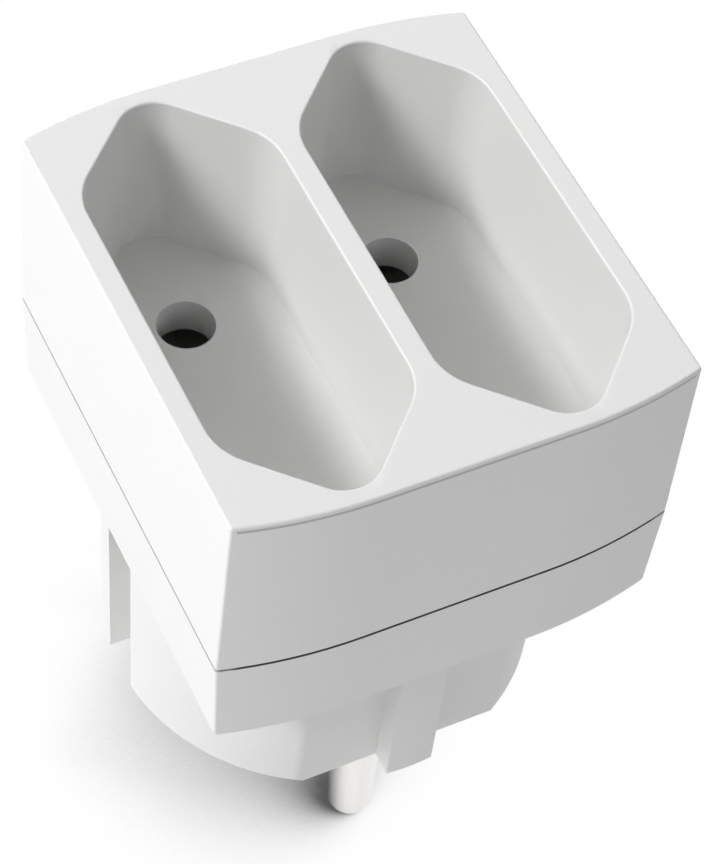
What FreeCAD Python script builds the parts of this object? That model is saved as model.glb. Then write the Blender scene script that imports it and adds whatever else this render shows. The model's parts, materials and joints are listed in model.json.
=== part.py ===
import FreeCAD, Part
import math
import os

# Two-way wall adapter for flat two-pin plugs, unearthed, in millimetres.
# The origin is the middle of the plug's face, where it meets the wall socket.
# +Z points out of the wall, Y runs along the line of the pins, X across the two sockets.

# Plug body that goes into the round well of a wall socket
plug_depth = 17.9
plug_radius = 17.85
guide_rib_height = 2.15
plug_draft = 0.3
guide_rib_width = 4.0
clip_channel_width = 4.3
clip_channel_depth = 2.8
plug_wall = 1.9
face_wall = 2.6

# Plug pins
pin_spacing = 19.0
pin_diameter = 4.0
pin_length = 18.5
pin_tip_radius = 1.4
pin_root_diameter = 4.4
pin_root_stand = 0.1
pin_seat_height = 5.0
pin_collar_diameter = 6.6
pin_collar_thickness = 1.2
pin_tail_diameter = 2.6
pin_head_diameter = 4.4
pin_head_height = 0.8

# Flat sockets in the top
recess_width = 15.4
recess_straight = 24.9
recess_depth = 15.25
recess_tip_radius = 3.0
recess_side_radius = 4.8
recess_rim_radius = 0.2
hole_spacing = 19.0
hole_diameter = 4.65
hole_collar_wall = 1.2
hole_collar_height = 1.05

# Block that holds the sockets, in two shells that meet at the seam
web_wall = 1.95
side_wall = 1.85
end_wall = 1.35
floor_wall = 2.35
roof_wall = 1.8
core_wall = 1.5
lower_height = 9.2
lower_wall = 2.0
shelf_wall = 1.8
end_bow = 1.44
end_straight = 15.0
seam_flare = 0.3
seam_set_back = 0.15
base_taper = 0.3
base_set_back = 0.1
base_ledge = 0.075
corner_radius = 0.25
top_edge_radius = 0.2
base_edge_radius = 0.2
face_edge_bevel = 0.3
seam_gap = 0.25
tongue_width = 1.0
tongue_height = 1.2
tongue_clearance = 0.12

# Bus bars, spring contacts and what fastens them
bar_thickness = 1.0
bar_margin = 0.35
contact_wall = 0.5
contact_base_radius = 2.5
contact_mouth_radius = 2.55
contact_throat_radius = 1.85
contact_height = 12.0
contact_throat_height = 8.0
contact_slit = 0.6
contact_slit_bottom = 1.6
spring_band_height = 1.4
spring_band_thickness = 0.5
spring_opening = 50.0
rivet_diameter = 1.6
rivet_head_diameter = 3.0
rivet_head_height = 0.5

# Housing screws and the ribs that hold the bars down
screw_spacing = 14.0
screw_diameter = 3.0
screw_length = 16.0
screw_head_diameter = 5.4
screw_head_height = 2.0
screw_head_bevel = 0.6
screw_recess_depth = 2.8
screw_slot_width = 0.9
screw_slot_depth = 1.0
boss_wall = 1.2
lower_boss_height = 8.0
barrier_thickness = 1.6
hold_rib_thickness = 1.2

# Clearances
fit_gap = 0.05
seat_gap = 0.1
boss_gap = 0.3
well_gap = 0.35
barrier_gap = 0.5

# How far a cutting tool runs past the face that it opens
overrun = 1.0

# Places that follow from the sizes above
pitch = recess_width + web_wall
seam_z = plug_depth + lower_height
upper_base_z = seam_z + seam_gap / 2
lower_top_z = seam_z - seam_gap / 2
recess_floor_z = upper_base_z + floor_wall
top_z = recess_floor_z + recess_depth
recess_half_length = (recess_straight + recess_width) / 2 - (math.sqrt(2) - 1) * recess_tip_radius
plug_flat = plug_radius - guide_rib_height
plug_root_radius = plug_radius + plug_draft
# The block is as large as the two sockets need, or as the plug body needs to stay under it
sockets_half_width = (pitch + recess_width) / 2 + side_wall
plug_half_width = plug_root_radius + base_ledge + base_taper - seam_flare
top_half_width = max(sockets_half_width, plug_half_width)
sockets_crown = recess_half_length + end_wall
plug_crown = plug_root_radius + base_ledge + base_set_back + seam_set_back
top_half_depth = max(sockets_crown, plug_crown) - end_bow
seam_half_width = top_half_width + seam_flare
seam_half_depth = top_half_depth - seam_set_back
base_half_width = seam_half_width - base_taper
base_half_depth = seam_half_depth - base_set_back
bar_z = pin_seat_height + pin_collar_thickness
bar_top_z = bar_z + bar_thickness
contact_x = pitch / 2
contact_y = hole_spacing / 2
pin_y = pin_spacing / 2
spring_bore_radius = contact_throat_radius + contact_wall + fit_gap
contact_reach = max(contact_mouth_radius + contact_wall, spring_bore_radius + spring_band_thickness)
screw_x = screw_spacing / 2
pin_collar_radius = pin_collar_diameter / 2
hold_rib_x = (pin_collar_radius + contact_x - contact_reach) / 2
# The bar's ends are rounded about the contacts and stay inside the wells
bar_end_radius = contact_base_radius + bar_margin


def at(x, y, z=0.0):
    return FreeCAD.Vector(x, y, z)


# Wire from a list of strokes: two points make a line, three points an arc
def wire_from(strokes, z):
    edges = []
    for stroke in strokes:
        points = [at(x, y, z) for x, y in stroke]
        if len(points) == 2:
            edges.append(Part.LineSegment(*points).toShape())
        else:
            edges.append(Part.Arc(*points).toShape())
    return Part.Wire(edges)


def prism(wire, height):
    return Part.Face(wire).extrude(at(0, 0, height))


def tapered(low_wire, high_wire):
    return Part.makeLoft([low_wire, high_wire], True, True)


def rod(radius, low, high, x=0.0, y=0.0):
    return Part.makeCylinder(radius, high - low, at(x, y, low))


# Solid of revolution about a vertical axis, from (radius, z) points
def turned(profile, x=0.0, y=0.0):
    points = [at(radius, 0, z) for radius, z in profile]
    face = Part.Face(Part.makePolygon(points + [points[0]]))
    shape = face.revolve(at(0, 0, 0), at(0, 0, 1), 360)
    shape.translate(at(x, y))
    return shape


def middle_box(width, depth, low, high, x=0.0, y=0.0):
    return Part.makeBox(width, depth, high - low, at(x - width / 2, y - depth / 2, low))


def edges_at(shape, z):
    return [edge for edge in shape.Edges if abs(edge.BoundBox.ZMin - z) < 1e-4 and edge.BoundBox.ZLength < 1e-4]


# Edges round the mouths of the two sockets, apart from the block's own top edge
def rim_edges(shape):
    reach_x = (pitch + recess_width + side_wall) / 2
    reach_y = recess_half_length + end_wall / 4
    edges = []
    for edge in edges_at(shape, top_z):
        box = edge.BoundBox
        if max(box.XMax, -box.XMin) < reach_x and max(box.YMax, -box.YMin) < reach_y:
            edges.append(edge)
    return edges


# Closed outline with a round at each corner, from (x, y, radius)
def rounded_outline(corners, z):
    strokes = []
    count = len(corners)
    ends = []
    for index, (x, y, radius) in enumerate(corners):
        here = at(x, y)
        before = at(*corners[index - 1][:2]).sub(here).normalize()
        after = at(*corners[(index + 1) % count][:2]).sub(here).normalize()
        half_angle = before.getAngle(after) / 2
        setback = radius / math.tan(half_angle)
        inward = before.add(after).normalize()
        middle = here.add(inward.multiply(radius / math.sin(half_angle) - radius))
        start = here.add(before.multiply(setback))
        end = here.add(after.multiply(setback))
        ends.append([(point.x, point.y) for point in (start, middle, end)])
    for index in range(count):
        strokes.append(ends[index])
        strokes.append([ends[index][2], ends[(index + 1) % count][0]])
    return wire_from(strokes, z)


# Outline of one flat socket: a long hexagon with 45 degree ends, grown by a wall where asked
def recess_outline(x, z, grow=0.0):
    half_width = recess_width / 2 + grow
    half_straight = recess_straight / 2 + grow * math.tan(math.pi / 8)
    tip = half_straight + half_width
    side_radius = recess_side_radius + grow
    tip_radius = recess_tip_radius + grow
    corners = [
        (x + half_width, -half_straight, side_radius),
        (x + half_width, half_straight, side_radius),
        (x, tip, tip_radius),
        (x - half_width, half_straight, side_radius),
        (x - half_width, -half_straight, side_radius),
        (x, -tip, tip_radius),
    ]
    return rounded_outline(corners, z)


# Outline of the block: straight sides, and ends that bow out to a straight middle
def block_outline(half_width, half_depth, z, inset=0.0):
    width = half_width - inset
    depth = half_depth - inset
    flat = end_straight / 2
    crown = depth + end_bow
    radius = ((width - flat) ** 2 + end_bow ** 2) / (2 * end_bow)
    turn = math.asin((width - flat) / radius) / 2
    mid_x = flat + radius * math.sin(turn)
    mid_y = crown - radius + radius * math.cos(turn)
    strokes = [
        [(width, -depth), (width, depth)],
        [(width, depth), (mid_x, mid_y), (flat, crown)],
        [(flat, crown), (-flat, crown)],
        [(-flat, crown), (-mid_x, mid_y), (-width, depth)],
        [(-width, depth), (-width, -depth)],
        [(-width, -depth), (-mid_x, -mid_y), (-flat, -crown)],
        [(-flat, -crown), (flat, -crown)],
        [(flat, -crown), (mid_x, -mid_y), (width, -depth)],
    ]
    return wire_from(strokes, z)


# Outline of the plug body: round, with two flats, a guide rib on each flat
# and a channel on each side for the wall socket's earth clips
def plug_outline(radius, flat, channel_floor, z, channel_half, rib_half=0.0):
    lip = math.sqrt(radius ** 2 - channel_half ** 2)
    flat_x = math.sqrt(radius ** 2 - flat ** 2)
    turn = (math.atan2(channel_half, lip) + math.atan2(flat, flat_x)) / 2
    quarter = [
        [(channel_floor, channel_half), (lip, channel_half)],
        [(lip, channel_half), (radius * math.cos(turn), radius * math.sin(turn)), (flat_x, flat)],
    ]
    if rib_half:
        rib_top = math.sqrt(radius ** 2 - rib_half ** 2)
        quarter.append([(flat_x, flat), (rib_half, flat)])
        quarter.append([(rib_half, flat), (rib_half, rib_top)])
        crest = [(rib_half, rib_top), (0.0, radius), (-rib_half, rib_top)]
    else:
        crest = [(flat_x, flat), (-flat_x, flat)]
    mirrored = [[(-x, y) for x, y in reversed(stroke)] for stroke in reversed(quarter)]
    half = quarter + [crest] + mirrored
    other_half = [[(-x, -y) for x, y in stroke] for stroke in half]
    right_floor = [(channel_floor, -channel_half), (channel_floor, channel_half)]
    left_floor = [(-channel_floor, channel_half), (-channel_floor, -channel_half)]
    return wire_from([right_floor] + half + [left_floor] + other_half, z)


# Round the four upright corners of a block shell
def round_corners(shape):
    corners = []
    for edge in shape.Edges:
        box = edge.BoundBox
        if box.ZLength > lower_height / 2 and abs(box.Center.x) > top_half_width - side_wall:
            corners.append(edge)
    return shape.makeFillet(corner_radius, corners)


def contact_places():
    places = {}
    for side, x in (("left", -contact_x), ("right", contact_x)):
        for pole, y in (("line", contact_y), ("neutral", -contact_y)):
            places[side + "_" + pole] = (x, y)
    return places


# Grooves and tongue share this ring, which runs inside the outer face at the seam
def seam_ring(low, high, clearance=0.0):
    outer_inset = lower_wall - tongue_width - clearance
    inner_inset = lower_wall + clearance
    outer = prism(block_outline(seam_half_width, seam_half_depth, low, outer_inset), high - low)
    inner = prism(block_outline(seam_half_width, seam_half_depth, low, inner_inset), high - low)
    return outer.cut(inner)


# Hollows between the sockets and the outer walls, open below, that keep the walls even
def core_pockets():
    height = top_z - roof_wall - upper_base_z
    inset = lower_wall
    space = prism(block_outline(top_half_width, seam_half_depth, upper_base_z, inset), height)
    for x in (-contact_x, contact_x):
        space = space.cut(prism(recess_outline(x, upper_base_z, core_wall), height))
    return [solid for solid in space.Solids if solid.Volume > height]


def make_socket_housing():
    low = block_outline(seam_half_width, seam_half_depth, upper_base_z)
    high = block_outline(top_half_width, top_half_depth, top_z)
    shell = round_corners(tapered(low, high))
    shell = shell.makeFillet(top_edge_radius, edges_at(shell, top_z))
    for x in (-contact_x, contact_x):
        recess = prism(recess_outline(x, recess_floor_z), recess_depth + overrun)
        shell = shell.cut(recess)
    shell = shell.makeFillet(recess_rim_radius, rim_edges(shell))
    shell = shell.cut(core_pockets())
    groove_top = lower_top_z + tongue_height + tongue_clearance
    shell = shell.cut(seam_ring(upper_base_z - overrun, groove_top, tongue_clearance))
    # Each pin hole runs on through a short collar under the floor, towards its contact
    collar_low = upper_base_z - hole_collar_height
    collar_radius = hole_diameter / 2 + hole_collar_wall
    collars = [rod(collar_radius, collar_low, upper_base_z + floor_wall / 2, x, y)
               for x, y in contact_places().values()]
    shell = shell.fuse([socket_housing_ribs()] + collars)
    for x, y in contact_places().values():
        shell = shell.cut(rod(hole_diameter / 2, collar_low - overrun, recess_floor_z + overrun, x, y))
    return shell.removeSplitter()


# Barrier between the poles, screw bosses, and ribs that hold the bus bars down
def socket_housing_ribs():
    low_z = lower_boss_height + seat_gap
    boss_radius = screw_diameter / 2 + boss_wall
    floor_x = plug_radius - clip_channel_depth
    barrier_length = 2 * (floor_x - plug_wall - barrier_gap)
    parts = [middle_box(barrier_length, barrier_thickness, low_z, upper_base_z)]
    rib_reach = contact_y + contact_base_radius
    for x in (-hold_rib_x, hold_rib_x):
        parts.append(middle_box(hold_rib_thickness, 2 * rib_reach, bar_top_z + seat_gap, upper_base_z, x))
    for x in (-screw_x, screw_x):
        parts.append(rod(boss_radius, low_z, upper_base_z, x))
    ribs = parts[0].fuse(parts[1:])
    pilot_top = screw_recess_depth + screw_length + seat_gap
    for x in (-screw_x, screw_x):
        ribs = ribs.cut(rod(screw_diameter / 2 + fit_gap / 2, low_z - overrun, pilot_top, x))
    lower_boss = screw_head_diameter / 2 + boss_gap + boss_wall + boss_gap
    for x in (-screw_x, screw_x):
        ribs = ribs.cut(rod(lower_boss, bar_top_z - overrun, low_z, x))
    return ribs


def make_plug_housing():
    floor_x = plug_radius - clip_channel_depth
    channel_half = clip_channel_width / 2
    rib_half = guide_rib_width / 2
    # The body runs on into the block's floor, so that its sides cross the block's rounded edge cleanly
    root_z = plug_depth + shelf_wall / 2
    growth = plug_draft * root_z / plug_depth
    bevel = face_edge_bevel
    face = plug_outline(plug_radius - bevel, plug_flat - bevel, floor_x - bevel, 0,
                        channel_half + bevel, rib_half - bevel)
    lip = plug_outline(plug_radius, plug_flat, floor_x, bevel, channel_half, rib_half)
    root = plug_outline(plug_radius + growth, plug_flat + growth, floor_x, root_z, channel_half, rib_half)
    body = tapered(face, lip).fuse(tapered(lip, root))
    low = block_outline(base_half_width, base_half_depth, plug_depth)
    high = block_outline(seam_half_width, seam_half_depth, lower_top_z)
    block = round_corners(tapered(low, high))
    block = block.makeFillet(base_edge_radius, edges_at(block, plug_depth))
    shell = block.fuse(body)
    shell = shell.cut(plug_housing_cavity())
    shell = shell.fuse(seam_ring(lower_top_z - tongue_width, lower_top_z + tongue_height))
    shell = shell.fuse(plug_housing_bosses())
    return shell.cut(plug_housing_holes()).removeSplitter()


# Space inside the plug body and the lower block, with a well for each contact
def plug_housing_cavity():
    shelf_z = plug_depth + shelf_wall
    radius = plug_radius - plug_wall
    flat = plug_flat - plug_wall
    floor_x = plug_radius - clip_channel_depth - plug_wall
    channel_half = clip_channel_width / 2 + plug_wall
    root_radius = radius + plug_draft
    root_flat = flat + plug_draft
    low = plug_outline(radius, flat, floor_x, face_wall, channel_half)
    high = plug_outline(root_radius, root_flat, floor_x, shelf_z, channel_half)
    body_space = tapered(low, high)
    block_low = block_outline(base_half_width, base_half_depth, shelf_z, lower_wall)
    block_high = block_outline(seam_half_width, seam_half_depth, lower_top_z, lower_wall)
    spaces = [tapered(block_low, block_high), prism(block_high, overrun)]
    for x, y in contact_places().values():
        spaces.append(rod(contact_reach + well_gap, bar_z - rivet_head_height - seat_gap, shelf_z, x, y))
    # Room for each bus bar between its two wells, also where the plug body is slimmer
    for y in (-contact_y, contact_y):
        room = 2 * (bar_end_radius + bar_margin)
        spaces.append(middle_box(2 * contact_x, room, bar_z - seat_gap, bar_top_z + seat_gap, 0, y))
    return body_space.fuse(spaces)


def plug_housing_bosses():
    bosses = []
    for y in (-pin_y, pin_y):
        bosses.append(rod(pin_collar_radius + boss_wall, face_wall / 2, pin_seat_height, 0, y))
    screw_boss = screw_head_diameter / 2 + boss_gap + boss_wall
    for x in (-screw_x, screw_x):
        bosses.append(rod(screw_boss, face_wall / 2, lower_boss_height, x))
    outside = plug_outline(plug_radius, plug_flat, plug_radius - clip_channel_depth, 0,
                           clip_channel_width / 2)
    return [boss.common(prism(outside, plug_depth)) for boss in bosses]


def plug_housing_holes():
    holes = []
    for y in (-pin_y, pin_y):
        holes.append(rod(pin_root_diameter / 2 + fit_gap, -overrun, pin_seat_height + overrun, 0, y))
    for x in (-screw_x, screw_x):
        holes.append(rod(screw_head_diameter / 2 + boss_gap, -overrun, screw_recess_depth, x))
        holes.append(rod(screw_diameter / 2 + seat_gap, -overrun, lower_boss_height + overrun, x))
    return holes


# Turned pin: rounded tip, thicker root that stands just proud of the face, collar on the housing's seat,
# tail headed over the bus bar
def make_pin(y):
    shank = rod(pin_diameter / 2, -pin_length, -pin_root_stand, 0, y)
    shank = shank.makeFillet(pin_tip_radius, edges_at(shank, -pin_length))
    root = rod(pin_root_diameter / 2, -pin_root_stand, pin_seat_height, 0, y)
    collar = rod(pin_collar_radius, pin_seat_height, bar_z, 0, y)
    tail = rod(pin_tail_diameter / 2, bar_z, bar_top_z, 0, y)
    head = Part.makeCone(pin_head_diameter / 2, pin_tail_diameter / 2, pin_head_height, at(0, y, bar_top_z))
    return shank.fuse([root, collar, tail, head]).removeSplitter()


# Flat strip with round ends at the contacts and a round pad at the pin
def make_bus_bar(side):
    y = side * contact_y
    strip = middle_box(2 * contact_x, 2 * bar_end_radius, bar_z, bar_top_z, 0, y)
    ends = [rod(bar_end_radius, bar_z, bar_top_z, x, y) for x in (-contact_x, contact_x)]
    pad = rod(pin_collar_radius, bar_z, bar_top_z, 0, side * pin_y)
    bar = strip.fuse(ends + [pad])
    low, high = bar_z - overrun, bar_top_z + overrun
    bar = bar.cut(rod(pin_tail_diameter / 2 + fit_gap, low, high, 0, side * pin_y))
    for x in (-contact_x, contact_x):
        bar = bar.cut(rod(rivet_diameter / 2 + fit_gap, low, high, x, y))
    return bar.removeSplitter()


# Drawn cup with four springy petals that narrow to a throat and flare to a mouth
def make_contact(x, y):
    base_z = bar_top_z
    floor_z = base_z + contact_wall
    throat_z = base_z + contact_throat_height
    mouth_z = base_z + contact_height
    hole = rivet_diameter / 2 + fit_gap
    waist_low = throat_z - spring_band_height / 2 - fit_gap
    waist_high = throat_z + spring_band_height / 2 + fit_gap
    outside = [
        (contact_base_radius, base_z),
        (contact_base_radius, base_z + contact_slit_bottom),
        (contact_throat_radius + contact_wall, waist_low),
        (contact_throat_radius + contact_wall, waist_high),
        (contact_mouth_radius + contact_wall, mouth_z),
    ]
    inside = [
        (contact_mouth_radius, mouth_z),
        (contact_throat_radius, waist_high),
        (contact_throat_radius, waist_low),
        (contact_base_radius - contact_wall, base_z + contact_slit_bottom),
        (contact_base_radius - contact_wall, floor_z),
    ]
    cup = turned([(hole, base_z)] + outside + inside + [(hole, floor_z)])
    slit_low = base_z + contact_slit_bottom
    width = 3 * contact_reach
    slits = [
        middle_box(width, contact_slit, slit_low, mouth_z + overrun),
        middle_box(contact_slit, width, slit_low, mouth_z + overrun),
    ]
    cup = cup.cut(slits)
    cup.translate(at(x, y))
    return cup


# Open band of spring steel that sits in the waist of the petals
def make_contact_spring(x, y):
    low_z = bar_top_z + contact_throat_height - spring_band_height / 2
    outer_radius = spring_bore_radius + spring_band_thickness
    corners = [(spring_bore_radius, 0), (outer_radius, 0), (outer_radius, spring_band_height),
               (spring_bore_radius, spring_band_height), (spring_bore_radius, 0)]
    section = Part.Face(Part.makePolygon([at(radius, 0, low_z + rise) for radius, rise in corners]))
    band = section.revolve(at(0, 0), at(0, 0, 1), 360 - spring_opening)
    band.rotate(at(0, 0), at(0, 0, 1), math.copysign(90, y) + spring_opening / 2)
    band.translate(at(x, y))
    return band


def make_contact_rivets():
    rivets = []
    for x, y in contact_places().values():
        top = bar_top_z + contact_wall
        shank = rod(rivet_diameter / 2, bar_z, top, x, y)
        lower_head = rod(rivet_head_diameter / 2, bar_z - rivet_head_height, bar_z, x, y)
        upper_head = Part.makeCone(rivet_head_diameter / 2, rivet_diameter / 2, rivet_head_height, at(x, y, top))
        rivets.append(shank.fuse([lower_head, upper_head]).removeSplitter())
    return Part.makeCompound(rivets)


# Pan head screws, sunk in the plug face, with a cross slot
def make_housing_screws():
    screws = []
    for x in (-screw_x, screw_x):
        head_z = screw_recess_depth - screw_head_height
        head = rod(screw_head_diameter / 2, head_z, screw_recess_depth, x)
        head = head.makeChamfer(screw_head_bevel, edges_at(head, head_z))
        shank = rod(screw_diameter / 2, screw_recess_depth, screw_recess_depth + screw_length, x)
        tip = edges_at(shank, screw_recess_depth + screw_length)
        shank = shank.makeChamfer(screw_diameter / 4, tip)
        slot_length = screw_head_diameter - 2 * screw_head_bevel - screw_slot_width
        slot_top = head_z + screw_slot_depth
        screw = head.fuse(shank)
        screw = screw.cut(middle_box(slot_length, screw_slot_width, head_z - overrun, slot_top, x))
        screw = screw.cut(middle_box(screw_slot_width, slot_length, head_z - overrun, slot_top, x))
        screws.append(screw.removeSplitter())
    return Part.makeCompound(screws)


def save(shape, name):
    assert shape.isValid(), name + " is not a valid solid"
    shape.exportStep("parts/" + name + ".step")
    print(name, "solids", len(shape.Solids), "volume", round(shape.Volume, 1))


def main():
    os.makedirs("parts", exist_ok=True)
    save(make_socket_housing(), "socket_housing")
    save(make_plug_housing(), "plug_housing")
    for pole, side in (("line", 1), ("neutral", -1)):
        save(make_pin(side * pin_y), "plug_pin_" + pole)
        save(make_bus_bar(side), "bus_bar_" + pole)
    for name, (x, y) in contact_places().items():
        save(make_contact(x, y), "contact_" + name)
        save(make_contact_spring(x, y), "contact_spring_" + name)
    save(make_contact_rivets(), "contact_rivets")
    save(make_housing_screws(), "housing_screws")


main()
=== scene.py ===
# %% [markdown]
# # A two-way plug adapter in white plastic
#
# This lesson dresses the solids of a small wall adapter for a studio picture. The solids already have
# their true shape, so most of the work is light, finish and a few fine pieces that a solid model leaves
# plain. Everything is in metres. The origin is the middle of the plug's face, and +Z points out of the
# wall.

# %% Load the solids
import json
import math

import bmesh
import bpy
from mathutils import Matrix, Vector


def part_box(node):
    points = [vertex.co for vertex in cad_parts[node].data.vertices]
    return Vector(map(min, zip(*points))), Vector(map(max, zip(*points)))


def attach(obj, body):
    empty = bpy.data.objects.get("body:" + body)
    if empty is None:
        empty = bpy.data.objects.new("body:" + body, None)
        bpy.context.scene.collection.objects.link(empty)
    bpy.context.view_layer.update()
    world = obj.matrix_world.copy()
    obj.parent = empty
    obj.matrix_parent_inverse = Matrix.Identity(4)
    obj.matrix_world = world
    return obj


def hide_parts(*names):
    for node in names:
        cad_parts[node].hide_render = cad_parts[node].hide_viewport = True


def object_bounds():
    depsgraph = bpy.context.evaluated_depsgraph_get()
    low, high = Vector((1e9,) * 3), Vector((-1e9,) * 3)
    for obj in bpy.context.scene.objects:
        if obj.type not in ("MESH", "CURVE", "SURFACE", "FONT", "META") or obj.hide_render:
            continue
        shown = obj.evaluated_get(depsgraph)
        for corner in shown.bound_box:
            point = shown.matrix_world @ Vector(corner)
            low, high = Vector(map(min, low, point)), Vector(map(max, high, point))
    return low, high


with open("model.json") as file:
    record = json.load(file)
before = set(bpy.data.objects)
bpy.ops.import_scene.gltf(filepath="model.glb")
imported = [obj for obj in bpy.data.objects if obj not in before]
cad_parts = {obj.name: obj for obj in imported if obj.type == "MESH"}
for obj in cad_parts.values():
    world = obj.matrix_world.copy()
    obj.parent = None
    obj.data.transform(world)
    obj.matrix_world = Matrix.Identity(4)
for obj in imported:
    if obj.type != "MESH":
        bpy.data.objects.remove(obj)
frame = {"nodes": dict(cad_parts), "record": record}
cad_low, cad_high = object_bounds()
nodes = frame["nodes"]
MM = 0.001
print("nodes", len(nodes), "height in mm", round((cad_high.z - cad_low.z) / MM, 2))

# %% [markdown]
# ## Camera
#
# The picture looks down on a corner of the block from about a quarter of a metre, with a long lens and
# a slight roll. A camera can be placed by eye, or from the lines in the picture that are square on the
# real object. Here the place, the aim and the roll were worked out that way, and only those few values
# are kept.

# %% Place the camera
CAMERA_PLACE = Vector((-70.81, -120.57, 208.15)) * MM
CAMERA_AIM = Vector((0.11, -3.18, 27.1)) * MM
CAMERA_ROLL = math.radians(-7.12)
LENS_MM = 124.4
NEAREST_SEEN, FURTHEST_SEEN = 0.01, 10.0


def new_object(name, data):
    thing = bpy.data.objects.new(name, data)
    bpy.context.scene.collection.objects.link(thing)
    return thing


def turn_towards(place, aim):
    return (Vector(aim) - Vector(place)).to_track_quat("-Z", "Y")


camera_data = bpy.data.cameras.new("camera")
camera_data.lens = LENS_MM
camera_data.clip_start = NEAREST_SEEN
camera_data.clip_end = FURTHEST_SEEN
camera = new_object("camera", camera_data)
camera.location = CAMERA_PLACE
camera.rotation_mode = "QUATERNION"
sight = CAMERA_AIM - CAMERA_PLACE
roll = Matrix.Rotation(CAMERA_ROLL, 3, sight.normalized())
camera.rotation_quaternion = (roll @ turn_towards(CAMERA_PLACE, CAMERA_AIM).to_matrix()).to_quaternion()
bpy.context.scene.camera = camera
print("camera", round(sight.length / MM, 1), "mm from its aim")

# %% [markdown]
# ## Node trees in few words
#
# Materials, the world and Geometry Nodes are all trees of nodes. A socket of a node gets either a plain
# value or a link from another node, so one small helper does both, and the others are built on it.

# %% Helpers for node trees
def feed(tree, socket, value):
    if isinstance(value, bpy.types.NodeSocket):
        tree.links.new(value, socket)
    else:
        socket.default_value = value


def feed_all(tree, node, inputs):
    for name, value in inputs.items():
        feed(tree, node.inputs[name.replace("_", " ")], value)
    return node


def add_node(tree, kind, **inputs):
    return feed_all(tree, tree.nodes.new(kind), inputs)


def calculate(tree, operation, *values):
    node = tree.nodes.new("ShaderNodeMath")
    node.operation = operation
    for socket, value in zip(node.inputs, values):
        feed(tree, socket, value)
    return node.outputs[0]


def vector(tree, **parts):
    return add_node(tree, "ShaderNodeCombineXYZ", **parts).outputs[0]


print("helpers feed, add_node, calculate and vector")

# %% Helpers for the named sockets of a tree
def add_inputs(tree, kind, **starts):
    for name, start in starts.items():
        socket = tree.interface.new_socket(name.replace("_", " "), in_out="INPUT", socket_type=kind)
        if start is not None:
            socket.default_value = start


def add_output(tree, kind, name):
    tree.interface.new_socket(name, in_out="OUTPUT", socket_type=kind)


# A modifier takes its values by the socket's identifier, not by its name
def socket_id(tree, name):
    for item in tree.interface.items_tree:
        if item.name == name and item.in_out == "INPUT":
            return item.identifier
    raise KeyError(name)


print("helpers add_inputs, add_output and socket_id")

# %% [markdown]
# ## Floor, backdrop and light
#
# A white product picture wants a white ground that still keeps a soft shadow. For the light that
# bounces between things, the floor here is plain white paint. The camera sees a paper white instead,
# darkened where the object stands close above the floor, which an Ambient Occlusion node finds without
# any lamp. The node looks out from the floor along a leaning direction, so the shade lies more to the
# left and behind, as it does in the picture, and less in front.

# %% Lay the floor
FLOOR_REACH = 3.0

# One wide triangle: the two halves of a square would show their shared edge as a faint line in the shade
turns = [math.radians(angle) for angle in (90, 210, 330)]
corners = [(FLOOR_REACH * math.cos(turn), FLOOR_REACH * math.sin(turn), cad_low.z) for turn in turns]
floor_mesh = bpy.data.meshes.new("floor")
floor_mesh.from_pydata(corners, [], [(0, 1, 2)])
floor = new_object("floor", floor_mesh)
print("floor at", round(cad_low.z / MM, 2), "mm")


# %% Helpers for a ground that looks white
def new_material(name):
    material = bpy.data.materials.new(name)
    material.use_nodes = True
    material.node_tree.nodes.clear()
    return material, material.node_tree


# Bounced light meets one shader. The camera, and rays that polished metal mirrors, see the other.
def split_by_ray(tree, bounced, seen, output_kind):
    path = tree.nodes.new("ShaderNodeLightPath")
    direct = calculate(tree, "MAXIMUM", path.outputs["Is Camera Ray"], path.outputs["Is Glossy Ray"])
    choose = add_node(tree, "ShaderNodeMixShader", Fac=direct)
    feed(tree, choose.inputs[1], bounced.outputs[0])
    feed(tree, choose.inputs[2], seen.outputs[0])
    add_node(tree, output_kind, Surface=choose.outputs[0])


print("helpers new_material and split_by_ray")

# %% Paint the floor and its shade
FLOOR_COLOUR = (0.97, 0.97, 0.97, 1.0)
SHADE_REACH = 26 * MM
SHADE_LEAN = {"X": 0.5, "Y": -0.7, "Z": 1.0}
SHADE_FULL, SHADE_NONE = 0.41, 0.85
SHADE_DARKEST = 0.10
SHADE_SAMPLES = 32

floor_material, tree = new_material("floor_white")
lean = vector(tree, **SHADE_LEAN)
openness = add_node(tree, "ShaderNodeAmbientOcclusion", Distance=SHADE_REACH, Normal=lean)
openness.samples = SHADE_SAMPLES
level = add_node(tree, "ShaderNodeMapRange", Value=openness.outputs["AO"],
                 From_Min=SHADE_FULL, From_Max=SHADE_NONE, To_Min=SHADE_DARKEST)
level.interpolation_type = "SMOOTHSTEP"
paint = add_node(tree, "ShaderNodeBsdfDiffuse", Color=FLOOR_COLOUR)
paper = add_node(tree, "ShaderNodeEmission", Strength=level.outputs["Result"])
split_by_ray(tree, paint, paper, "ShaderNodeOutputMaterial")
floor_mesh.materials.append(floor_material)
print("shade reaches", round(SHADE_REACH / MM), "mm")

# %% [markdown]
# One long soft strip on the left does most of the work: it lights the left side and the top, reaches
# into the sockets at a slant, and leaves the front to the light that the floor throws back. It is
# narrow, so that the shade in the sockets keeps a clear border. A weak card low in front helps the
# front. Another, behind the far corner, is mirrored in the satin top and makes it paler. The
# surroundings add a little even light.

# %% Light the surroundings
WHITE = (1.0, 1.0, 1.0, 1.0)
AMBIENT = 0.20

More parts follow.
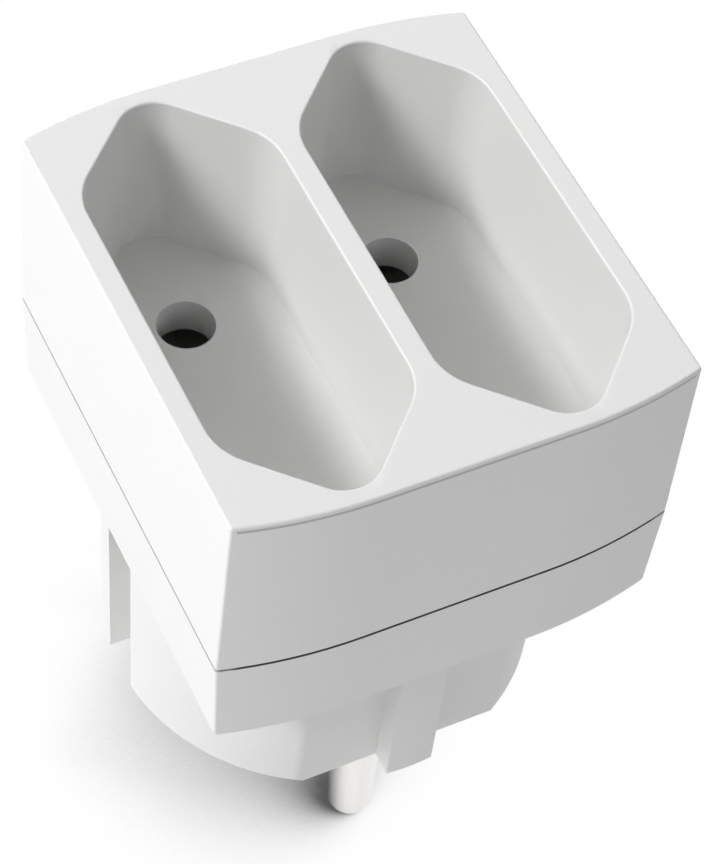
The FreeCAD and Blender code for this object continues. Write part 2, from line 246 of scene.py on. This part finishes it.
world = bpy.data.worlds.new("surroundings")
bpy.context.scene.world = world
world.use_nodes = True
tree = world.node_tree
tree.nodes.clear()
fill = add_node(tree, "ShaderNodeBackground", Color=WHITE, Strength=AMBIENT)
paper = add_node(tree, "ShaderNodeBackground", Color=WHITE, Strength=1.0)
split_by_ray(tree, fill, paper, "ShaderNodeOutputWorld")
print("ambient strength", AMBIENT)

# %% Hang the lamps
LAMP_AIM = (0.0, 0.0, 0.02)


def softbox(name, place, wide, tall, watts):
    lamp = bpy.data.lights.new(name, "AREA")
    lamp.shape = "RECTANGLE"
    lamp.size = wide
    lamp.size_y = tall
    lamp.energy = watts
    thing = new_object(name, lamp)
    thing.location = place
    thing.rotation_mode = "QUATERNION"
    thing.rotation_quaternion = turn_towards(place, LAMP_AIM)


softbox("left_strip", place=(-0.49, 0.08, 0.54), wide=0.62, tall=0.12, watts=4.95)
softbox("front_card", place=(-0.35, -0.70, 0.06), wide=0.60, tall=0.30, watts=0.45)
softbox("rear_card", place=(0.33, 0.43, 0.45), wide=0.50, tall=0.20, watts=0.95)
print("lamps", len(bpy.data.lights))

# %% [markdown]
# ## Finishes
#
# The housing is moulded white plastic with a satin skin: very fine even texture, no colour of its own
# to speak of. The pins are nickel plated brass, bright and faintly drawn along their length. Inside are
# bare brass and oiled spring steel. All of them share one group for the fine grain, each with its own
# values. It tints the colour, spreads the roughness and bends the surface a little.

# %% Group: fine grain
GRAIN_DETAIL = 3.0
GRAIN_HEIGHT = 0.02 * MM


def grain_group():
    group = bpy.data.node_groups.new("fine_grain", "ShaderNodeTree")
    add_inputs(group, "NodeSocketFloat", Scale=2000.0, Depth=0.1)
    add_inputs(group, "NodeSocketVector", Stretch=(1.0, 1.0, 1.0))
    add_output(group, "NodeSocketFloat", "Value")
    add_output(group, "NodeSocketVector", "Normal")
    given = group.nodes.new("NodeGroupInput").outputs
    place = group.nodes.new("ShaderNodeTexCoord")
    stretch = group.nodes.new("ShaderNodeVectorMath")
    stretch.operation = "MULTIPLY"
    feed(group, stretch.inputs[0], place.outputs["Object"])
    feed(group, stretch.inputs[1], given["Stretch"])
    noise = add_node(group, "ShaderNodeTexNoise", Vector=stretch.outputs[0], Scale=given["Scale"],
                     Detail=GRAIN_DETAIL)
    bump = add_node(group, "ShaderNodeBump", Height=noise.outputs["Fac"], Strength=given["Depth"],
                    Distance=GRAIN_HEIGHT)
    add_node(group, "NodeGroupOutput", Value=noise.outputs["Fac"], Normal=bump.outputs["Normal"])
    return group


FINE_GRAIN = grain_group()
print("group", FINE_GRAIN.name)


# %% Build a finish from the shared grain
def place_group(tree, group, **inputs):
    node = tree.nodes.new("ShaderNodeGroup")
    node.node_tree = group
    return feed_all(tree, node, inputs)


def mix_colours(tree, factor, first, second):
    mix = tree.nodes.new("ShaderNodeMix")
    mix.data_type = "RGBA"
    return feed_all(tree, mix, {"Factor": factor, "A": first, "B": second}).outputs["Result"]


def finish(name, colour, other_colour, roughness, rough_spread, metallic, scale, stretch, depth):
    material, tree = new_material(name)
    grain = place_group(tree, FINE_GRAIN, Scale=scale, Stretch=stretch, Depth=depth)
    amount = grain.outputs["Value"]
    tone = mix_colours(tree, amount, (*colour, 1.0), (*other_colour, 1.0))
    rough = add_node(tree, "ShaderNodeMapRange", Value=amount,
                     To_Min=roughness - rough_spread, To_Max=roughness + rough_spread)
    skin = add_node(tree, "ShaderNodeBsdfPrincipled", Base_Color=tone, Metallic=metallic,
                    Roughness=rough.outputs["Result"], Normal=grain.outputs["Normal"])
    add_node(tree, "ShaderNodeOutputMaterial", Surface=skin.outputs[0])
    return material


print("helpers place_group, mix_colours and finish")

# %% Mix the finishes
EVEN = (1.0, 1.0, 1.0)
DRAWN = (1.0, 1.0, 0.03)
ROLLED = (1.0, 1.0, 0.2)

WHITE_PLASTIC = finish(
    "white_plastic", colour=(0.77, 0.77, 0.765), other_colour=(0.80, 0.80, 0.795), roughness=0.42,
    rough_spread=0.04, metallic=0.0, scale=2500.0, stretch=EVEN, depth=0.12)
NICKEL = finish(
    "nickel_plate", colour=(0.93, 0.92, 0.90), other_colour=(0.74, 0.73, 0.71), roughness=0.10,
    rough_spread=0.04, metallic=1.0, scale=900.0, stretch=DRAWN, depth=0.10)
BRASS = finish(
    "contact_brass", colour=(0.86, 0.70, 0.30), other_colour=(0.72, 0.57, 0.24), roughness=0.42,
    rough_spread=0.08, metallic=1.0, scale=1200.0, stretch=ROLLED, depth=0.10)
SPRING_STEEL = finish(
    "spring_steel", colour=(0.36, 0.36, 0.37), other_colour=(0.26, 0.26, 0.28), roughness=0.35,
    rough_spread=0.08, metallic=1.0, scale=1800.0, stretch=EVEN, depth=0.10)
ZINC_STEEL = finish(
    "zinc_steel", colour=(0.62, 0.63, 0.65), other_colour=(0.50, 0.51, 0.53), roughness=0.32,
    rough_spread=0.08, metallic=1.0, scale=1500.0, stretch=EVEN, depth=0.10)

FINISHES = {
    "white_housing": WHITE_PLASTIC,
    "nickel_plate": NICKEL,
    "contact_brass": BRASS,
    "spring_steel": SPRING_STEEL,
    "zinc_steel": ZINC_STEEL,
}
print("finishes", len(FINISHES))

# %% [markdown]
# ## Painted shade lines on the housing
#
# White plastic throws so much light about that the thin gap between the two shells would look pale. On
# the real block it is dark at the front and the back and paler along the sides, and a fine dark shadow
# line runs under the rounded top edge at both ends. These lines could be cut deeper, but their form is
# right. So a second group marks a level line by its height, only where it is far enough from the middle,
# and the housing's colour goes darker there: painted shade in the seam, and a painted shadow line under
# the top edge.

# %% Group: painted shade line
# The mask marks where the housing's colour is darkened as painted shade
def painted_shade_line_group():
    group = bpy.data.node_groups.new("painted_shade_line", "ShaderNodeTree")
    add_inputs(group, "NodeSocketFloat", Height=0.0, Half_width=0.1 * MM, Softness=0.1 * MM, Beyond=0.0)
    add_output(group, "NodeSocketFloat", "Mask")
    given = group.nodes.new("NodeGroupInput").outputs
    place = group.nodes.new("ShaderNodeTexCoord")
    x, y, z = add_node(group, "ShaderNodeSeparateXYZ", Vector=place.outputs["Object"]).outputs
    away = calculate(group, "ABSOLUTE", calculate(group, "SUBTRACT", z, given["Height"]))
    past = calculate(group, "SUBTRACT", away, given["Half width"])
    fade = add_node(group, "ShaderNodeMapRange", Value=past, From_Min=0.0, From_Max=given["Softness"],
                    To_Min=1.0, To_Max=0.0)
    out = calculate(group, "MAXIMUM", calculate(group, "ABSOLUTE", x), calculate(group, "ABSOLUTE", y))
    far_enough = calculate(group, "GREATER_THAN", out, given["Beyond"])
    mask = calculate(group, "MULTIPLY", fade.outputs["Result"], far_enough)
    add_node(group, "NodeGroupOutput", Mask=mask)
    return group


PAINTED_SHADE_LINE = painted_shade_line_group()
print("group", PAINTED_SHADE_LINE.name)

# %% Paint shade into the seam and a shadow line under the top edge
SEAM_HEIGHT = 27.1 * MM
SEAM_HALF = 0.13 * MM
SEAM_SOFTNESS = 0.03 * MM
SIDE_BEYOND, SIDE_SEAM_PAINTED_SHADE = 16.40 * MM, 0.50
END_BEYOND, END_SEAM_PAINTED_SHADE = 18.93 * MM, 0.14
# A painted shadow line under the rounded top edge at the front and the back
EDGE_LINE_DROP = 0.50 * MM
EDGE_LINE_HALF = 0.06 * MM
EDGE_LINE_SOFTNESS = 0.14 * MM
EDGE_LINE_PAINTED_SHADOW = 0.42
PAINTED_SHADE_WARMTH = 0.98


# Paints shade: the housing's colour goes darker in a band at one height, away from the middle
def add_painted_shade_line(material, height, half_width, softness, beyond, shade):
    tree = material.node_tree
    skin = next(node for node in tree.nodes if node.type == "BSDF_PRINCIPLED")
    before = skin.inputs["Base Color"].links[0].from_socket
    line = place_group(tree, PAINTED_SHADE_LINE, Height=height, Half_width=half_width, Softness=softness,
                       Beyond=beyond)
    darker = mix_colours(tree, line.outputs["Mask"], before, (shade, shade, shade * PAINTED_SHADE_WARMTH, 1.0))
    feed(tree, skin.inputs["Base Color"], darker)


# Height of the painted shadow line, just under the top edge
edge_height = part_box("socket_housing")[1].z - EDGE_LINE_DROP
# Painted shade in the seam gap, paler along the sides and darker at the front and the back
for beyond, shade in ((SIDE_BEYOND, SIDE_SEAM_PAINTED_SHADE), (END_BEYOND, END_SEAM_PAINTED_SHADE)):
    add_painted_shade_line(WHITE_PLASTIC, SEAM_HEIGHT, SEAM_HALF, SEAM_SOFTNESS, beyond, shade)
# Painted shadow line under the rounded top edge, at the front and the back
add_painted_shade_line(WHITE_PLASTIC, edge_height, EDGE_LINE_HALF, EDGE_LINE_SOFTNESS, END_BEYOND, EDGE_LINE_PAINTED_SHADOW)
print("lines at", round(SEAM_HEIGHT / MM, 2), "and", round(edge_height / MM, 2), "mm")

# %% [markdown]
# ## Smooth solids
#
# The solids arrive as separate flat triangles. Shaded flat, every round edge would show its facets.
# They could be remodelled, but their form is right, so a small Geometry Nodes tree joins the triangles,
# smooths across gentle edges only, and leaves the vertices where they are. Weighted normals then keep
# the large faces flat right up to their rounded rims.

# %% Tree: join and smooth
def smoothing_tree():
    tree = bpy.data.node_groups.new("join_and_smooth", "GeometryNodeTree")
    add_inputs(tree, "NodeSocketGeometry", Geometry=None)
    add_inputs(tree, "NodeSocketFloat", Join_distance=0.001 * MM, Sharp_angle=math.radians(35.0))
    add_output(tree, "NodeSocketGeometry", "Geometry")
    given = tree.nodes.new("NodeGroupInput").outputs
    merge = add_node(tree, "GeometryNodeMergeByDistance", Geometry=given["Geometry"],
                     Distance=given["Join distance"])
    faces = add_node(tree, "GeometryNodeSetShadeSmooth", Geometry=merge.outputs["Geometry"])
    faces.domain = "FACE"
    angle = tree.nodes.new("GeometryNodeInputMeshEdgeAngle")
    gentle = tree.nodes.new("FunctionNodeCompare")
    gentle.operation = "LESS_THAN"
    feed_all(tree, gentle, {"A": angle.outputs["Unsigned Angle"], "B": given["Sharp angle"]})
    edges = add_node(tree, "GeometryNodeSetShadeSmooth", Geometry=faces.outputs["Geometry"],
                     Shade_Smooth=gentle.outputs["Result"])
    edges.domain = "EDGE"
    add_node(tree, "NodeGroupOutput", Geometry=edges.outputs["Geometry"])
    return tree


JOIN_AND_SMOOTH = smoothing_tree()
print("tree", JOIN_AND_SMOOTH.name)

# %% Smooth every solid and give it its finish
SHARP_ANGLE = math.radians(32.0)

slot_of = {row["node"]: row["material_slot"] for row in frame["record"]["subparts"]}
for name, thing in nodes.items():
    smooth = thing.modifiers.new("join_and_smooth", "NODES")
    smooth.node_group = JOIN_AND_SMOOTH
    smooth[socket_id(JOIN_AND_SMOOTH, "Sharp angle")] = SHARP_ANGLE
    weigh = thing.modifiers.new("weighted_normals", "WEIGHTED_NORMAL")
    weigh.keep_sharp = True
    thing.data.materials.clear()
    thing.data.materials.append(FINISHES[slot_of[name]])
print("dressed", len(nodes), "solids")

# %% [markdown]
# ## Housing screws
#
# Two thread-forming screws hold the shells together, with their heads deep in the plug's face. The
# solids have them as plain turned shapes, which is enough to hold but not to look at. The head and the
# core are turned here by spinning one outline, and a Boolean cuts the cross recess. The thread follows
# a rule, so Geometry Nodes makes it: a helix carries a small three-sided profile. The same tree sets
# the finished screw at both places, each turned a little differently, as a hand driver would leave them.

# %% Turn the head and the core of a screw
HEAD_RADIUS = 2.70 * MM
HEAD_HEIGHT = 2.00 * MM
HEAD_ROUND = 0.60 * MM
ROUND_STEPS = 5
CORE_RADIUS = 1.22 * MM
SCREW_LENGTH = 18.0 * MM
TIP_LENGTH = 0.75 * MM
TIP_RADIUS = 0.75 * MM
TURN_STEPS = 48
WELD = 1e-7


def finished_mesh(work, name):
    bmesh.ops.recalc_face_normals(work, faces=work.faces)
    mesh = bpy.data.meshes.new(name)
    work.to_mesh(mesh)
    work.free()
    return mesh


def turned_mesh(name, outline):
    work = bmesh.new()
    verts = [work.verts.new((radius, 0.0, height)) for radius, height in outline]
    edges = [work.edges.new(pair) for pair in zip(verts, verts[1:])]
    bmesh.ops.spin(work, geom=verts + edges, cent=(0, 0, 0), axis=(0, 0, 1), angle=math.tau,
                   steps=TURN_STEPS)
    bmesh.ops.remove_doubles(work, verts=work.verts, dist=WELD)
    return finished_mesh(work, name)


def rounded_rim():
    points = []
    for step in range(ROUND_STEPS + 1):
        turn = math.pi / 2 * step / ROUND_STEPS
        radius = HEAD_RADIUS - HEAD_ROUND + HEAD_ROUND * math.sin(turn)
        points.append((radius, HEAD_ROUND - HEAD_ROUND * math.cos(turn)))
    return points


screw_outline = [(0.0, 0.0)] + rounded_rim() + [
    (HEAD_RADIUS, HEAD_HEIGHT), (CORE_RADIUS, HEAD_HEIGHT),
    (CORE_RADIUS, SCREW_LENGTH - TIP_LENGTH), (TIP_RADIUS, SCREW_LENGTH), (0.0, SCREW_LENGTH),
]
screw_mesh = turned_mesh("screw_body", screw_outline)
print("screw body faces", len(screw_mesh.polygons))

# %% Shape the cutter for the cross recess
RECESS_MOUTH = (1.65 * MM, 0.45 * MM)
RECESS_BOTTOM = (0.90 * MM, 0.30 * MM)
RECESS_DEPTH = 1.0 * MM
RECESS_RUN_OUT = 0.2 * MM


def cross_outline(reach, half_width):
    arm = [(reach, -half_width), (reach, half_width), (half_width, half_width)]
    points = []
    for _ in range(4):
        points += arm
        arm = [(-y, x) for x, y in arm]
    return points


def cross_cutter():
    slope = [(mouth - bottom) / RECESS_DEPTH for mouth, bottom in zip(RECESS_MOUTH, RECESS_BOTTOM)]
    outer = [mouth + rise * RECESS_RUN_OUT for mouth, rise in zip(RECESS_MOUTH, slope)]
    work = bmesh.new()
    low, high = [
        [work.verts.new((x, y, height)) for x, y in cross_outline(*size)]
        for size, height in ((outer, -RECESS_RUN_OUT), (RECESS_BOTTOM, RECESS_DEPTH))
    ]
    for index in range(len(low)):
        after = (index + 1) % len(low)
        work.faces.new((low[index], low[after], high[after], high[index]))
    work.faces.new(low)
    work.faces.new(high)
    return finished_mesh(work, "cross_cutter")


cutter_mesh = cross_cutter()
print("cutter faces", len(cutter_mesh.polygons))


# %% Cut the cross recess
def evaluated_mesh(thing, name):
    depsgraph = bpy.context.evaluated_depsgraph_get()
    mesh = bpy.data.meshes.new_from_object(thing.evaluated_get(depsgraph))
    mesh.name = name
    return mesh


blank = new_object("screw_blank", screw_mesh)
cutter = new_object("cross_cutter", cutter_mesh)
cut = blank.modifiers.new("cross_recess", "BOOLEAN")
cut.operation = "DIFFERENCE"
cut.solver = "EXACT"
cut.object = cutter
one_screw = evaluated_mesh(blank, "one_screw")
for thing in (blank, cutter):
    bpy.data.objects.remove(thing)
print("screw with its recess, faces", len(one_screw.polygons))

# %% Tree: thread a screw and set it at each place
HELIX_STEPS = 32
RIDGE_SIDES = 3
SCREW_COUNT = 2


def thread_tree():
    tree = bpy.data.node_groups.new("threaded_screws", "GeometryNodeTree")
    add_inputs(tree, "NodeSocketGeometry", Geometry=None)
    add_inputs(tree, "NodeSocketFloat", Pitch=1 * MM, Thread_length=10 * MM, Thread_start=2 * MM,
               Helix_radius=1 * MM, Ridge=0.2 * MM, Spacing=10 * MM, Height=0.0, Turn=0.4)
    add_inputs(tree, "NodeSocketMaterial", Material=None)
    add_output(tree, "NodeSocketGeometry", "Geometry")
    given = tree.nodes.new("NodeGroupInput").outputs

    rotations = calculate(tree, "DIVIDE", given["Thread length"], given["Pitch"])
    helix = add_node(tree, "GeometryNodeCurveSpiral", Resolution=HELIX_STEPS, Rotations=rotations,
                     Start_Radius=given["Helix radius"], End_Radius=given["Helix radius"],
                     Height=given["Thread length"])
    profile = add_node(tree, "GeometryNodeCurvePrimitiveCircle", Resolution=RIDGE_SIDES,
                       Radius=given["Ridge"])
    ridge = add_node(tree, "GeometryNodeCurveToMesh", Curve=helix.outputs["Curve"],
                     Profile_Curve=profile.outputs["Curve"], Fill_Caps=True)
    lift = add_node(tree, "GeometryNodeTransform", Geometry=ridge.outputs["Mesh"],
                    Translation=vector(tree, Z=given["Thread start"]))
    screw = add_node(tree, "GeometryNodeJoinGeometry", Geometry=given["Geometry"])
    feed(tree, screw.inputs["Geometry"], lift.outputs["Geometry"])

    half = calculate(tree, "MULTIPLY", given["Spacing"], -0.5)
    places = add_node(tree, "GeometryNodeMeshLine", Count=SCREW_COUNT,
                      Start_Location=vector(tree, X=half, Z=given["Height"]),
                      Offset=vector(tree, X=given["Spacing"]))
    order = tree.nodes.new("GeometryNodeInputIndex")
    turn = calculate(tree, "MULTIPLY", order.outputs["Index"], given["Turn"])
    spread = add_node(tree, "GeometryNodeInstanceOnPoints", Points=places.outputs["Mesh"],
                      Instance=screw.outputs["Geometry"], Rotation=vector(tree, Z=turn))
    solid = add_node(tree, "GeometryNodeRealizeInstances", Geometry=spread.outputs["Instances"])
    dress = add_node(tree, "GeometryNodeSetMaterial", Geometry=solid.outputs["Geometry"],
                     Material=given["Material"])
    add_node(tree, "NodeGroupOutput", Geometry=dress.outputs["Geometry"])
    return tree


THREADED_SCREWS = thread_tree()
print("tree", THREADED_SCREWS.name)

# %% Set both screws
SCREW_VALUES = {
    "Pitch": 1.06 * MM,
    "Thread length": 13.0 * MM,
    "Thread start": 4.2 * MM,
    "Helix radius": CORE_RADIUS,
    "Ridge": 0.27 * MM,
    "Spacing": 14.0 * MM,
    "Height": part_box("housing_screws")[0].z,
    "Turn": 0.6,
    "Material": ZINC_STEEL,
}
SCREW_SHARP = math.radians(35.0)

pattern = new_object("screw_pattern", one_screw)
threading = pattern.modifiers.new("threaded_screws", "NODES")
threading.node_group = THREADED_SCREWS
for name, value in SCREW_VALUES.items():
    threading[socket_id(THREADED_SCREWS, name)] = value
screws_mesh = evaluated_mesh(pattern, "threaded_screws")
bpy.data.objects.remove(pattern)
for polygon in screws_mesh.polygons:
    polygon.use_smooth = True
screws_mesh.set_sharp_from_angle(angle=SCREW_SHARP)
screws = new_object("threaded_screws", screws_mesh)
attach(screws, "root")
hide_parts("housing_screws")
print("threaded screws, triangles", sum(len(polygon.vertices) - 2 for polygon in screws_mesh.polygons))

# %% [markdown]
# ## Finish
#
# The picture keeps the standard view transform, so a colour shows about as it is written.

# %% Set the view transform and end
bpy.context.scene.view_settings.view_transform = "Standard"
